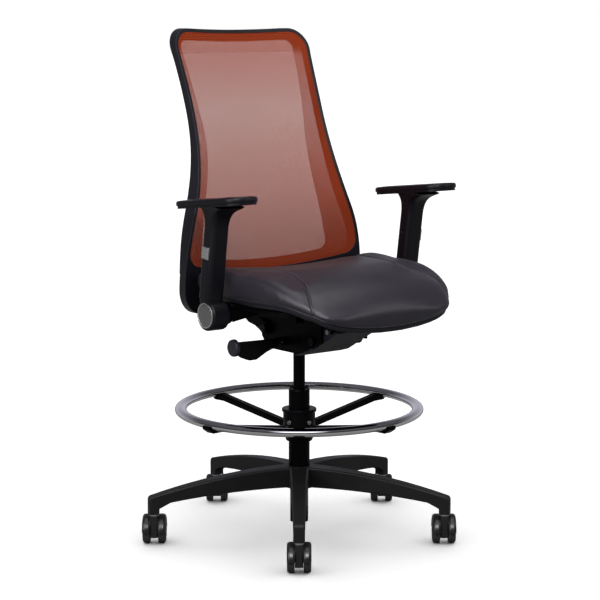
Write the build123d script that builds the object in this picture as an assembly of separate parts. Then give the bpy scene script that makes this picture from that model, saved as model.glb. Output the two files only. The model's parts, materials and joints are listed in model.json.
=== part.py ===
from build123d import *
import math
import os

# Drafting chair. Millimetres, +Z up, origin on the floor under the column.
# The sitter faces -Y, so the sitter's right is -X.

# Stance: the first leg, every caster and the ring spokes follow this direction
front_leg_angle = 232.0
leg_count = 5
spoke_count = 4
spokes_start = front_leg_angle + 45.0

# Casters
wheel_radius = 30.0
wheel_inner_face = 10.0
wheel_outer_face = 27.0
axle_radius = 3.0
axle_reach = 22.0
caster_trail = 16.0
stem_circle = 356.0
stem_radius = 5.5
stem_collar_radius = 11.0
hood_radius = 39.0
hood_wall = 3.5
hood_inner = 8.0
hood_outer = 27.3
hood_round = 7.0
hood_lip = 31.2
hood_top = 69.5
web_half = 9.5
web_radius = 24.0
web_bottom = 18.0
boss_front = 11.0
boss_rear = -14.0

# Star base
socket_bottom = 74.0
leg_end = 368.5
socket_inner = 345.5
leg_end_half = 12.5
leg_end_top = 115.0
leg_root = 10.0
leg_root_half = 23.0
leg_root_low = 115.5
leg_heel = (322.0, 98.5)
stem_top = 108.0
base_hub_radius = 36.0
base_hub_low = 114.0
base_hub_top = 165.0

# Gas column
tube_radius = 25.0
tube_low_radius = 21.5
tube_wall = 2.5
tube_bottom = 29.0
tube_top = 350.0
rod_radius = 14.0
rod_wall = 1.5
rod_bottom = 116.0
rod_top = 498.0
piston_radius = 5.0
bushing_low = 266.0
running_gap = 0.05

# Foot ring
ring_height = 303.0
ring_path = 280.3
ring_half_width = 14.0
ring_half_height = 10.0
ring_end_radius = 7.5
ring_hub_top = 303.0
ring_hub_low = 226.0
ring_hub_radius = 38.0
ring_flange_radius = 41.0
ring_wall = 2.0
spoke_width = 21.0
tab_low = 285.0
tab_inner = 262.0
tab_outer = 299.0
ring_screw_circle = 276.0
ring_screw_radius = 3.0
ring_screw_head = 5.0
hub_screw_height = 273.0
hub_screw_turn = 36.0

# Tilt mechanism
housing_half = 56.0
housing_wall = 6.0
housing_low = 447.0
housing_top = 520.0
cover_half = 60.0
cover_screw_place = (-181.0, 513.0)
front_pivot = (-136.0, 486.0)
rear_pivot = (48.0, 495.0)
front_pin_radius = 6.0
rear_pin_radius = 7.0
lever_y = -17.0
lever_pivot = (-72.0, 472.0)
carrier_cheek = 63.0
back_arm = 60.0

# Seat
seat_half = 250.0
pan_half = 222.0
pan_front = -248.0
pan_rear = 64.0
pan_low = 566.0
pan_top = 576.0
carrier_half = 95.0
carrier_plate = 6.0
flange_low = 527.0
screw_radius = 4.0
screw_head = 7.0
cover_screw_head = 5.5

# Back
back_radius = 1000.0
back_depth = 24.0
back_rim = 8.0
back_top = 1192.5
back_low = 534.0
back_waist_half = 193.0
back_low_half = 262.0
top_spread = 10.5
flare_start = 1000.0
flare_end = 770.0
flare_share = 0.57
bolt_head_y = 157.0
top_dip = 3.0
mesh_low = 626.0
mesh_thickness = 2.0
band_end = 20.0
band_setback = 20.0

# Arms, built for the sitter's right and mirrored
hub_y = -43.0
hub_z = 557.0
hub_radius = 35.0
hub_outer = -300.0
hub_inner = -255.0
pivot_bolt_radius = 8.0
post_x = -288.0
post_lean = 8.1
sleeve_width = 48.0
sleeve_depth = 40.0
sleeve_wall = 4.0
sleeve_corner = 12.0
sleeve_start = 40.0
sleeve_gap = 0.3
pad_x = -292.0
pad_length = 240.0
pad_width = 88.0
pad_tilt = 6.0
pad_under = 249.5
pad_plate = 6.0
pad_thick = 12.0
button_height = 146.0
button_half = 12.0
button_rise = 14.0
dimple_radius = 6.0
dimple_height = 157.0


def cylinder_z(radius, low, high, x=0.0, y=0.0):
    return Pos(x, y, (low + high) / 2) * Cylinder(radius, high - low)


def cylinder_x(radius, low, high, y, z):
    return Pos((low + high) / 2, y, z) * Rot(0, 90, 0) * Cylinder(radius, high - low)


def cylinder_y(radius, low, high, x, z):
    return Pos(x, (low + high) / 2, z) * Rot(90, 0, 0) * Cylinder(radius, high - low)


def block(x0, x1, y0, y1, z0, z1):
    middle = Pos((x0 + x1) / 2, (y0 + y1) / 2, (z0 + z1) / 2)
    return middle * Box(x1 - x0, y1 - y0, z1 - z0)


def prism_x(points, low, high):
    # Outline in Y and Z, pulled along X
    face = make_face(Polyline(*points, close=True))
    return extrude(Plane.YZ.offset(low) * face, amount=high - low)


def prism_y(points, low, high):
    # Outline in X and Z, pulled along Y
    face = make_face(Polyline(*points, close=True))
    return extrude(Plane.XZ.offset(-high) * face, amount=high - low)


def turned(points):
    # Outline of radius and height, turned about Z
    face = make_face(Polyline(*points, close=True))
    return revolve(Plane.XZ * face, axis=Axis.Z)


def around(shape, count, start):
    step = 360.0 / count
    return [Rot(0, 0, start + k * step) * shape for k in range(count)]


# Base and casters

def leg():
    # Side view of one leg along +X, cut by its tapered plan
    top = ThreePointArc((leg_root, base_hub_top), (200, 150), (leg_end, leg_end_top))
    under = ThreePointArc(leg_heel, (180, 112.5), (leg_root, leg_root_low))
    end = Polyline((leg_end, leg_end_top), (leg_end, socket_bottom), (socket_inner, socket_bottom),
                   (socket_inner, socket_bottom + 13), leg_heel)
    root = Line((leg_root, leg_root_low), (leg_root, base_hub_top))
    side = make_face([top, end, under, root])
    nose = side.vertices().sort_by(Axis.X)[-2:].sort_by(Axis.Y)[-1]
    side = fillet(nose, 10)
    side = extrude(Plane.XZ * side, amount=2 * leg_root_half, both=True)
    plan = Polyline((leg_root, -leg_root_half), (leg_end, -leg_end_half),
                    (leg_end, leg_end_half), (leg_root, leg_root_half), close=True)
    body = side & extrude(make_face(plan), amount=200)
    flanks = [e for e in body.edges() if abs(e.center().Y) > 5 and e.center().X > 60]
    ridge = [e for e in flanks if e.center().Z > 107 and e.center().Z > 60 + 0.25 * e.center().X]
    ridge += [e for e in flanks if e.center().X > leg_end - 1]
    return fillet(ridge, 4)


def star_base():
    hub = cylinder_z(base_hub_radius, base_hub_low, base_hub_top)
    hub = chamfer(hub.edges().group_by(Axis.Z)[-1], 4)
    body = hub
    for arm in around(leg(), leg_count, front_leg_angle):
        body = body + arm
    bore = Pos(0, 0, (base_hub_low + base_hub_top) / 2) * Cone(
        tube_low_radius, tube_radius, base_hub_top - base_hub_low)
    body = body - bore
    socket = cylinder_z(stem_radius, socket_bottom - 1, stem_top, x=stem_circle)
    for hole in around(socket, leg_count, front_leg_angle):
        body = body - hole
    return body


def caster_stem():
    post = cylinder_z(stem_radius, 40, stem_top)
    collar = cylinder_z(stem_collar_radius, 70, 73.7)
    return Pos(stem_circle, 0, 0) * (post + collar)


def caster_places():
    # Stem positions, with each caster turned to roll along the first leg
    for k in range(leg_count):
        angle = math.radians(front_leg_angle + 360.0 * k / leg_count)
        spot = Pos(stem_circle * math.cos(angle), stem_circle * math.sin(angle), 0)
        yield spot * Rot(0, 0, front_leg_angle)


def hood_lobe(axle_x):
    # Rounded guard over the wheel on the +Y side
    width = hood_outer - hood_inner
    middle = (hood_outer + hood_inner) / 2
    skin = Pos(middle, hood_radius - 12) * RectangleRounded(width, 24, hood_round)
    room = RectangleRounded(width - 2 * hood_wall, 24, hood_round - hood_wall)
    room = Pos(middle, hood_radius - hood_wall - 12) * room
    guard = revolve(Plane.YZ * (skin - room), axis=Axis.Y)
    guard = Pos(axle_x, 0, wheel_radius) * guard - cylinder_y(hood_lip, 0, 30, axle_x, wheel_radius)
    return guard & block(-90, 60, 0, 30, wheel_radius + 2, 90)


def caster_hood():
    # Stem axis on Z, axle behind it at -X
    axle_x = -caster_trail
    lobe = hood_lobe(axle_x)
    web = cylinder_y(web_radius, -web_half, web_half, axle_x, wheel_radius)
    web = web & block(-60, 60, -web_half, web_half, web_bottom, hood_top)
    boss = block(boss_rear, boss_front, -web_half, web_half, web_bottom, hood_top)
    boss = fillet(boss.edges().filter_by(Axis.Z), 4)
    bridge = block(axle_x - 12, boss_front - 3, -web_half, web_half, 40, hood_top - 3)
    pin = cylinder_y(axle_radius, -axle_reach, axle_reach, axle_x, wheel_radius)
    body = lobe + mirror(lobe, about=Plane.XZ) + web + boss + bridge + pin
    return body - cylinder_z(stem_radius + running_gap, 38, hood_top + 1)


def caster_wheel():
    # Wheel on the +Y side, with a rounded outer rim, a dished face and a blind axle bore
    wheel = cylinder_y(wheel_radius, wheel_inner_face, wheel_outer_face, -caster_trail, wheel_radius)
    rims = wheel.edges().filter_by(GeomType.CIRCLE).sort_by(Axis.Y)
    wheel = fillet(rims[-1], 6)
    dish = cylinder_y(17, wheel_outer_face - 1.5, wheel_outer_face + 1, -caster_trail, wheel_radius)
    bore = cylinder_y(axle_radius + running_gap, 0, axle_reach + 0.5, -caster_trail, wheel_radius)
    return wheel - dish - bore


# Gas column

def column_tube():
    inner = tube_radius - tube_wall
    inner_low = tube_low_radius - tube_wall
    return turned([
        (tube_low_radius, tube_bottom), (tube_low_radius, base_hub_low), (tube_radius, base_hub_top),
        (tube_radius, tube_top - 3), (tube_radius - 1.5, tube_top), (inner, tube_top),
        (inner, base_hub_top + 6), (inner_low, base_hub_low), (inner_low, tube_bottom)])


def column_bushing():
    inner = rod_radius + running_gap
    return turned([(inner, bushing_low), (tube_radius - tube_wall, bushing_low),
                   (tube_radius - tube_wall, tube_top - 2), (inner, tube_top - 2)])


def column_end_plate():
    plate = cylinder_z(tube_low_radius - tube_wall, tube_bottom + 2, tube_bottom + 6)
    return plate - cylinder_z(piston_radius + running_gap, tube_bottom, tube_bottom + 8)


def piston_rod():
    # Thin rod fixed at the foot, with a shoulder on the bearing and a piston inside the pressure tube
    rod = cylinder_z(piston_radius, tube_bottom + 1, 322)
    shoulder = cylinder_z(11, tube_bottom + 12.2, tube_bottom + 16)
    head = cylinder_z(rod_radius - rod_wall - running_gap, 308, 322)
    return rod + shoulder + head


def thrust_bearing():
    ring = cylinder_z(14, tube_bottom + 6.2, tube_bottom + 12.2)
    return ring - cylinder_z(piston_radius, tube_bottom, tube_bottom + 20)


def pressure_tube():
    inner = rod_radius - rod_wall
    guide = piston_radius + running_gap
    return turned([
        (guide, rod_bottom), (rod_radius, rod_bottom), (rod_radius, rod_top - 50), (rod_radius - 1, rod_top),
        (5, rod_top), (5, rod_top + 6), (0, rod_top + 6), (0, rod_top - 60),
        (inner, rod_top - 60), (inner, rod_bottom + 12), (guide, rod_bottom + 12)])


# Foot ring

def ring_oval(inset):
    # Oval of four arcs that meet smoothly, on the ring's path
    side = ring_half_width - ring_end_radius
    rise = ring_half_height - ring_end_radius
    drop = (side ** 2 - rise ** 2) / (2 * rise)
    slope = math.atan2(drop, side)
    width = ring_half_width - inset
    height = ring_half_height - inset
    x = side + (ring_end_radius - inset) * math.cos(slope)
    z = (ring_end_radius - inset) * math.sin(slope)
    edges = [
        ThreePointArc((x, z), (0, height), (-x, z)),
        ThreePointArc((-x, z), (-width, 0), (-x, -z)),
        ThreePointArc((-x, -z), (0, -height), (x, -z)),
        ThreePointArc((x, -z), (width, 0), (x, z)),
    ]
    return Plane.XZ * Pos(ring_path, ring_height) * make_face(edges)


def foot_ring():
    # Bent oval tube, drilled from below for the spoke screws
    ring = revolve(ring_oval(0) - ring_oval(ring_wall), axis=Axis.Z)
    hole = cylinder_z(ring_screw_radius, tab_low, ring_height, x=ring_screw_circle)
    for spot in around(hole, spoke_count, spokes_start):
        ring = ring - spot
    return ring


def ring_hub():
    bore = tube_radius + 2 * running_gap
    return turned([
        (bore, ring_hub_low), (31, ring_hub_low), (33, ring_hub_low + 6),
        (ring_hub_radius, ring_hub_low + 16), (ring_hub_radius, ring_hub_top - 9),
        (ring_flange_radius, ring_hub_top - 7), (ring_flange_radius, ring_hub_top - 1),
        (ring_flange_radius - 1, ring_hub_top), (bore, ring_hub_top)])


def ring_spoke():
    # Flat bar from the hub up to a saddle under the ring
    bar = prism_y([
        (30, 249), (tab_inner, tab_low), (tab_outer - 15, tab_low), (tab_outer, tab_low + 10),
        (tab_outer, ring_height), (tab_inner, ring_height - 2), (30, 264)],
        -spoke_width / 2, spoke_width / 2)
    long_edges = [e for e in bar.edges() if e.length > 200]
    bar = fillet(long_edges, 4)
    return bar - cylinder_z(ring_hub_radius, 200, 320) - revolve(ring_oval(0), axis=Axis.Z) - ring_screw()


def ring_screw():
    # Head sunk into the tab, shank up into the ring
    head = cylinder_z(ring_screw_head, tab_low, tab_low + 3, x=ring_screw_circle)
    return head + cylinder_z(ring_screw_radius, tab_low, ring_height - 4, x=ring_screw_circle)


def hub_screw():
    head = cylinder_x(ring_screw_head, ring_hub_radius, ring_hub_radius + 3.5, 0, hub_screw_height)
    return head + cylinder_x(ring_screw_radius, ring_hub_radius - 8, ring_hub_radius, 0, hub_screw_height)


def hub_screws():
    # The pair of clamp screws either side of the first leg
    return [Rot(0, 0, front_leg_angle + turn) * hub_screw() for turn in (-hub_screw_turn, hub_screw_turn)]


def drilled_hub():
    body = ring_hub()
    for screw in hub_screws():
        body = body - screw
    return body


# Tilt mechanism

def housing_outline(inset):
    # Side view from the rear wall, under the belly and up to the nose
    return [(72 - inset, housing_top), (72 - inset, 474 + inset), (56 - inset, 456 + inset),
            (28, housing_low + inset), (-62, housing_low + inset), (-104 + inset, 460 + inset),
            (-190 + inset, 508 + inset), (-190 + inset, housing_top)]


def tilt_housing():
    body = prism_x(housing_outline(0), -housing_half, housing_half)
    low_edges = [e for e in body.edges().filter_by(Axis.X) if e.center().Z < 470]
    body = fillet(low_edges, 10)
    half = housing_half - housing_wall
    pocket = prism_x(housing_outline(housing_wall), -half, half)
    socket = cylinder_z(24, housing_low + 2, rod_top - 2)
    body = body - pocket + socket
    taper = turned([(0, 400), (rod_radius, 400), (rod_radius, rod_top - 50),
                    (rod_radius - 1, rod_top), (0, rod_top)])
    body = body - taper
    for y0, y1 in ((lever_y - 12, lever_y - 6.2), (lever_y + 6.2, lever_y + 12)):
        lug = cylinder_y(8, y0, y1, *lever_pivot)
        lug = lug + block(lever_pivot[0], -housing_half, y0, y1, lever_pivot[1] - 8, lever_pivot[1] + 8)
        body = body + (lug - cylinder_y(axle_radius, y0 - 1, y1 + 1, *lever_pivot))
    body = body - cylinder_x(front_pin_radius, -100, 100, *front_pivot)
    body = body - cylinder_x(rear_pin_radius, -100, 100, *rear_pivot)
    return body - cover_screw() - mirror(cover_screw(), about=Plane.YZ)


def housing_cover():
    # Nose shield over the sloping front of the housing
    outer = cover_half
    shield = prism_x([(-60, 444), (-82, 446), (-110, 454), (-216, 513.6), (-212, 518.2),
                      (-105, 458.5), (-60, 444.8)], -outer, outer)
    cheek = prism_x([(-152, 478), (-191, 500), (-191, 519), (-166, 519)], housing_half + 0.5, outer)
    body = shield + cheek + mirror(cheek, about=Plane.YZ)
    return body - cylinder_x(screw_radius, -outer - 1, outer + 1, *cover_screw_place)


def cover_screw():
    head = cylinder_x(cover_screw_head, -cover_half - 2.5, -cover_half, *cover_screw_place)
    return head + cylinder_x(screw_radius, -cover_half, -housing_half + 6, *cover_screw_place)


def pivot_pin(place, radius, reach):
    pin = cylinder_x(radius, -reach, reach, *place)
    head = cylinder_x(radius + 3, reach, reach + 4, *place)
    return pin + head + mirror(head, about=Plane.YZ)


def spring_cartridge():
    # Closed canister of the recline spring, across the housing
    reach = housing_half - housing_wall - 1
    canister = cylinder_x(17, -reach, reach, -78, 480)
    return chamfer(canister.edges().filter_by(GeomType.CIRCLE), 2)


def height_paddle():
    x, z = lever_pivot
    blade = prism_y([
        (x, z + 7), (-196, 482), (-199, 482), (-199, 458), (-182, 445), (-162, 437), (-142, 437),
        (-112, 452), (x, z - 7)], lever_y - 5, lever_y + 5)
    low = [e for e in blade.edges().filter_by(Axis.Y) if e.center().X > -190 and e.center().Z < 450]
    blade = fillet(low, 9)
    eye = cylinder_y(8, lever_y - 6, lever_y + 6, x, z)
    return blade + eye - cylinder_y(axle_radius + running_gap, lever_y - 20, lever_y + 20, x, z)


def height_knob():
    knob = cylinder_x(20, -209, -199, lever_y, 470)
    return fillet(knob.edges().filter_by(GeomType.CIRCLE).group_by(Axis.X)[0], 4)


def lever_pin():
    return cylinder_y(axle_radius, lever_y - 12, lever_y + 12, *lever_pivot)


# Seat

def seat_screw_places():
    spots = [(x, y, pan_low - carrier_plate) for x in (-42, 42) for y in (-150, 60)]
    spots += [(x, hub_y + y, pan_low - 12) for x in (-130, 130) for y in (-14, 14)]
    return spots


def seat_screw_shank(x, y, low):
    return cylinder_z(screw_radius, low - 1, pan_top - 2, x, y)


def seat_screw(x, y, low):
    return cylinder_z(screw_radius, low, pan_top - 2, x, y) + cylinder_z(screw_head, low - 4, low, x, y)


def drill_seat(body):
    for spot in seat_screw_places():
        body = body - seat_screw_shank(*spot)
    return body


def seat_carrier():
    plate = block(-carrier_half, carrier_half, -195, 88, pan_low - carrier_plate, pan_low)
    plate = fillet(plate.edges().filter_by(Axis.Z), 12)
    y, z = front_pivot
    inner = carrier_cheek
    outer = carrier_cheek + carrier_plate
    cheek = block(inner, outer, y - 32, y + 32, z - 2, pan_low - carrier_plate)
    cheek = cheek + cylinder_x(16, inner, outer, y, z)
    flange = block(carrier_half - carrier_plate, carrier_half, -110, 76, flange_low, pan_low - carrier_plate)
    side = cheek + flange
    body = plate + side + mirror(side, about=Plane.YZ)
    body = body - cylinder_x(front_pin_radius + running_gap, -100, 100, y, z)
    return drill_seat(body)


def seat_pan():
    plan = RectangleRounded(2 * pan_half, pan_rear - pan_front, 60)
    plan = Pos(0, (pan_front + pan_rear) / 2) * plan
    return drill_seat(extrude(Plane.XY.offset(pan_low) * plan, amount=pan_top - pan_low))


def cushion_section(y, half, low, side_low, shoulder, middle, inset):
    # One upright slice: flat-arched underside, bulging sides and a top that dips or crowns
    waist = (side_low + shoulder) / 2
    foot = half - 16
    brow = half - inset
    slope = 2 * math.atan((middle - shoulder) / brow)
    inward = (-math.cos(slope), math.sin(slope))
    side = Spline((foot, side_low), (half, waist), (brow, shoulder), tangents=[(1, 0.5), inward])
    edges = [
        ThreePointArc((-foot, side_low), (0, low), (foot, side_low)),
        side,
        ThreePointArc((brow, shoulder), (0, middle), (-brow, shoulder)),
        mirror(side, about=Plane.YZ),
    ]
    return Plane((0, y, 0), x_dir=(1, 0, 0), z_dir=(0, -1, 0)) * make_face(edges)


def seat_cushion():
    # Dished rear edge to the front, where the cushion rolls down over the pan
    stations = [
        (98, 204, 591, 593, 629, 622.5, 16),
        (88, 236, 580, 584, 634, 625.5, 17),
        (58, seat_half - 3, 574, 580, 646, 632.5, 16),
        (-60, seat_half, 574, 580, 654.5, 648, 18),
        (-190, 247, 573, 581, 650, 657, 32),
        (-254, 235, 566, 579, 633, 650, 41),
        (-300, 212, 543, 568, 609, 630, 45),
        (-328, 184, 531, 557, 588, 604, 46),
        (-342, 148, 539, 556, 575, 586, 46),
    ]
    cushion = loft([cushion_section(*station) for station in stations])
    return cushion - block(-pan_half - 1, pan_half + 1, pan_front - 1, pan_rear + 1, pan_low - 30, pan_top)


# Arms

def arm_frame():
    # Along the leaning post: Z up the post from the pivot
    return Pos(post_x, hub_y, hub_z) * Rot(post_lean, 0, 0)


def post_column(width, depth, corner, low, high):
    plan = RectangleRounded(width, depth, corner)
    return arm_frame() * extrude(Plane.XY.offset(low) * plan, amount=high - low)


def arm_bracket():
    arm = prism_y([(-252, 543), (-240, 540), (-196, 547), (-145, pan_low - 12), (-102, pan_low - 12),
                   (-102, pan_low), (-252, pan_low)], hub_y - 24, hub_y + 24)
    boss = cylinder_x(24, hub_inner + 0.3, -240, hub_y, hub_z)
    body = fillet(arm.edges().filter_by(Axis.Z), 5) + boss
    keep = block(hub_inner + 0.3, 0, -200, 200, 400, 700)
    body = (body & keep) - cylinder_x(pivot_bolt_radius, -300, -236, hub_y, hub_z)
    return drill_seat(body)


def arm_pivot_bolt():
    shank = cylinder_x(pivot_bolt_radius, hub_outer + 8, -236, hub_y, hub_z)
    return shank + cylinder_x(12, hub_outer + 3.5, hub_outer + 8, hub_y, hub_z)


def arm_post():
    barrel = cylinder_x(hub_radius, hub_outer, hub_inner, hub_y, hub_z)
    barrel = fillet(barrel.edges().filter_by(GeomType.CIRCLE), 5)
    inner_width = sleeve_width - 2 * sleeve_wall - 2 * sleeve_gap
    inner_depth = sleeve_depth - 2 * sleeve_wall - 2 * sleeve_gap
    column = post_column(inner_width, inner_depth, sleeve_corner - sleeve_wall, 20, 206)
    root = post_column(sleeve_width - 4, sleeve_depth - 4, sleeve_corner - 2, 18, sleeve_start - 0.5)
    trim = block(-400, hub_outer, -200, 200, hub_z - 60, hub_z + 31)
    body = barrel + (column + root - trim)
    groove = block(-30, -inner_width / 2 + 4, -button_half - 1, button_half + 1, 70, 210)
    body = body - arm_frame() * groove
    body = body - cylinder_x(pivot_bolt_radius + running_gap, hub_outer + 8, hub_inner + 1, hub_y, hub_z)
    head_room = cylinder_x(12.5, hub_outer + 3, hub_outer + 8.3, hub_y, hub_z)
    cap_seat = cylinder_x(28.5, hub_outer - 1, hub_outer + 3, hub_y, hub_z)
    return body - head_room - cap_seat


def arm_hub_cap():
    # Disc with a raised rim and a small tab at its upper front edge
    disc = cylinder_x(28.5, hub_outer - 1.5, hub_outer + 3, hub_y, hub_z)
    disc = disc - cylinder_x(26.3, hub_outer - 2, hub_outer - 0.7, hub_y, hub_z)
    tab = Pos(0, hub_y, hub_z) * Rot(25, 0, 0) * block(hub_outer - 2.5, hub_outer, -6, 6, 20, 28)
    return disc + tab


def pad_place():
    # Centre of the pad's underside, tilted front edge up
    lean = math.radians(post_lean)
    y = hub_y - pad_under * math.sin(lean)
    z = hub_z + pad_under * math.cos(lean)
    return Pos(pad_x, y, z) * Rot(-pad_tilt, 0, 0)


def arm_sleeve():
    # Straight tube that opens like a trumpet under the pad
    tube = post_column(sleeve_width, sleeve_depth, sleeve_corner, sleeve_start, 190)
    steps = [(190, sleeve_width, sleeve_depth), (206, 48.2, 40.6), (222, 50, 45), (236, 54, 57),
             (247, 61, 80), (258, 72, 116)]
    flare = loft([Plane.XY.offset(z) * RectangleRounded(w, d, sleeve_corner) for z, w, d in steps])
    flare = arm_frame() * flare
    body = tube + flare
    body = body - pad_place() * block(-100, 100, -150, 150, 0, 80)
    inner_width = sleeve_width - 2 * sleeve_wall
    inner_depth = sleeve_depth - 2 * sleeve_wall
    body = body - post_column(inner_width, inner_depth, sleeve_corner - sleeve_wall, sleeve_start - 1, 210)
    reach = button_half + 0.1
    rise = button_rise + 0.1
    window = block(-30, -10, -reach, reach, button_height - rise, button_height + rise)
    dimple = arm_frame() * cylinder_x(dimple_radius, sleeve_width / 2 - 1.5, sleeve_width, 0, dimple_height)
    return body - arm_frame() * window - dimple


def arm_button():
    inner = -sleeve_width / 2 + sleeve_wall - 0.2
    key = block(-sleeve_width / 2 - 3.5, inner, -button_half, button_half,
                button_height - button_rise, button_height + button_rise)
    outer_edges = key.edges().group_by(Axis.X)[0]
    return arm_frame() * fillet(outer_edges, 1.5)


def arm_pad_plate():
    plan = RectangleRounded(pad_width - 5, pad_length - 5, 36)
    return pad_place() * extrude(plan, amount=pad_plate)


def arm_pad():
    # Moulded pad with a softly rounded top edge
    plan = RectangleRounded(pad_width, pad_length, 38)
    pad = extrude(Plane.XY.offset(pad_plate) * plan, amount=pad_thick)
    pad = fillet(pad.edges().group_by(Axis.Z)[-1], 5)
    pad = fillet(pad.edges().group_by(Axis.Z)[0], 2)
    return pad_place() * pad


# Back

def back_shell(setback, depth, rear_fill=0.0, front_fill=0.0):
    # Curved slab: a plan arc carried up the side profile, whose hollow behind the loins can be filled
    profile = [(515, 131, 0), (600, 126, 0), (680, 121, 8), (760, 119.5, 16), (850, 131.5, 11), (940, 155, 3),
               (1040, 189, 0), (1125, 223, 0), (1210, 258, 0)]
    reach = 300.0
    drop = back_radius - math.sqrt(back_radius ** 2 - reach ** 2)
    sections = []
    for z, middle, hollow in profile:
        front = middle + setback + front_fill * hollow
        rear = middle + setback + depth + rear_fill * hollow
        edges = [
            ThreePointArc((-reach, front - drop), (0, front), (reach, front - drop)),
            Line((reach, front - drop), (reach, rear - drop)),
            ThreePointArc((reach, rear - drop), (0, rear), (-reach, rear - drop)),
            Line((-reach, rear - drop), (-reach, front - drop)),
        ]
        sections.append(Plane.XY.offset(z) * make_face(edges))
    return loft(sections)


def flank(inset):
    # Waisted side: nearly straight above the waist, flaring out below it and turning down to the seat
    swing = back_low_half - back_waist_half
    flare = flare_share * swing
    rise = flare_start - flare_end
    bend = (rise ** 2 + flare ** 2) / (2 * flare)
    angle = math.asin(rise / bend)
    turn = (swing - flare) / (1 - math.cos(angle))
    turn_end = flare_end - turn * math.sin(angle)
    x_top = back_waist_half - inset
    x_low = back_low_half - inset
    head = back_top + 30
    flare_middle = (x_top + bend * (1 - math.cos(angle / 2)), flare_start - bend * math.sin(angle / 2))
    turn_middle = (x_low - turn * (1 - math.cos(angle / 2)), turn_end + turn * math.sin(angle / 2))
    knee = (x_top + flare, flare_end)
    return [
        ThreePointArc((x_top + top_spread, head), (x_top + top_spread / 4, (head + flare_start) / 2),
                      (x_top, flare_start)),
        ThreePointArc((x_top, flare_start), flare_middle, knee),
        ThreePointArc(knee, turn_middle, (x_low, turn_end)),
        Line((x_low, turn_end), (x_low, back_low)),
    ]


def back_outline(inset, end_inset):
    # Full outline in X and Z, square at its corners, with a dip in the top edge
    x_top = back_waist_half + top_spread - inset
    x_low = back_low_half - inset
    right = flank(inset)
    left = [mirror(edge, about=Plane.YZ) for edge in right]
    face = make_face(right + left + [
        Line((-x_low, back_low), (x_low, back_low)),
        Line((-x_top, back_top + 30), (x_top, back_top + 30)),
    ])
    top = back_top - end_inset
    crest = top + 4 * top_dip
    dip = ThreePointArc((-300, crest), (0, top - top_dip), (300, crest))
    below_top = make_face([dip, Polyline((300, crest), (300, 400), (-300, 400), (-300, crest))])
    return face & below_top


def rounded_ends(face, top_radius, low_radius):
    corners = face.vertices().sort_by(Axis.Y)
    face = fillet(corners[-2:], top_radius)
    return fillet(face.vertices().sort_by(Axis.Y)[:2], low_radius)


def mesh_outline(inset, end_inset):
    # The open field of the back, above a lower edge that sags in the middle
    low = mesh_low + end_inset
    sag = ThreePointArc((-300, low + 39), (0, low), (300, low + 39))
    above = make_face([sag, Polyline((300, low + 39), (300, 1300), (-300, 1300), (-300, low + 39))])
    return back_outline(back_rim + inset, back_rim + end_inset) & above


def through(face):
    return extrude(Plane.XZ.offset(-400) * face, amount=500)


def mesh_field():
    return through(rounded_ends(mesh_outline(0, 0), 40, 34))


def back_frame():
    # Hoop round the mesh, with a lower panel that is notched for the carrier and hollowed behind
    hoop = back_shell(0, back_depth, rear_fill=1.0) & through(rounded_ends(back_outline(0, 0), 48, 60))
    hoop = hoop - mesh_field() - (back_shell(back_depth - 0.3, 30) & block(-300, 300, 0, 400, 500, 632))
    notch = through(Pos(0, 540) * RectangleRounded(220, 40, 12))
    hollow = back_shell(12, back_depth) & block(112, 215, 0, 400, back_low + 36, 612)
    body = hoop - notch - hollow - mirror(hollow, about=Plane.YZ)
    for x, z in back_bolt_places():
        body = body - cylinder_y(screw_radius, bolt_head_y - 30, 200, x, z)
    return body


def back_mesh():
    return back_shell(1, mesh_thickness) & mesh_field()


def band_window():
    # Clear field inside the band, narrowest above the loins
    right = Spline((168, back_top + 30), (161, 1089), (154, 1010), (148, 930), (154, 850), (170, 770),
                   (183, 690), (190, 600))
    left = mirror(right, about=Plane.YZ)
    face = make_face([right, left, Line((-168, back_top + 30), (168, back_top + 30)),
                      Line((-190, 600), (190, 600))])
    return through(rounded_ends(face & mesh_outline(0, band_end), 20, 24))


def mesh_band():
    sheet = back_shell(band_setback, mesh_thickness, rear_fill=1.0, front_fill=1.0)
    return (sheet & mesh_field()) - band_window()


def back_bolt_places():
    return [(x, z) for x in (-80, 80) for z in (585, 606)]


def back_bolt(x, z):
    shank = cylinder_y(screw_radius, bolt_head_y - 29, bolt_head_y, x, z)
    return shank + cylinder_y(screw_head, bolt_head_y, bolt_head_y + 5, x, z)


def back_carrier():
    # Two arms from the rear pivot, joined by a plate behind the lower panel
    y, z = rear_pivot
    inner = back_arm
    outer = back_arm + 8
    arm = prism_x([(y, z - 14), (83, 497), (109, 502), (120, 509), (140, 518), (155, 526), (155, 546),
                   (130, 545), (100, 536), (y, z + 15)], inner, outer)
    arm = arm + cylinder_x(15, inner, outer, y, z)
    arm = arm - cylinder_x(rear_pin_radius + running_gap, inner - 1, outer + 1, y, z)
    plate = back_shell(back_depth, 8) & block(-100, 100, 100, 300, 520, 616)
    body = plate + arm + mirror(arm, about=Plane.YZ)
    for x, height in back_bolt_places():
        body = body - cylinder_y(screw_radius, 120, 200, x, height)
    return body


# Every piece by name

def group(shapes):
    return Compound(children=list(shapes))


def right_and_left(name, shape):
    return {name + "_right": shape, name + "_left": mirror(shape, about=Plane.YZ)}


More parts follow.
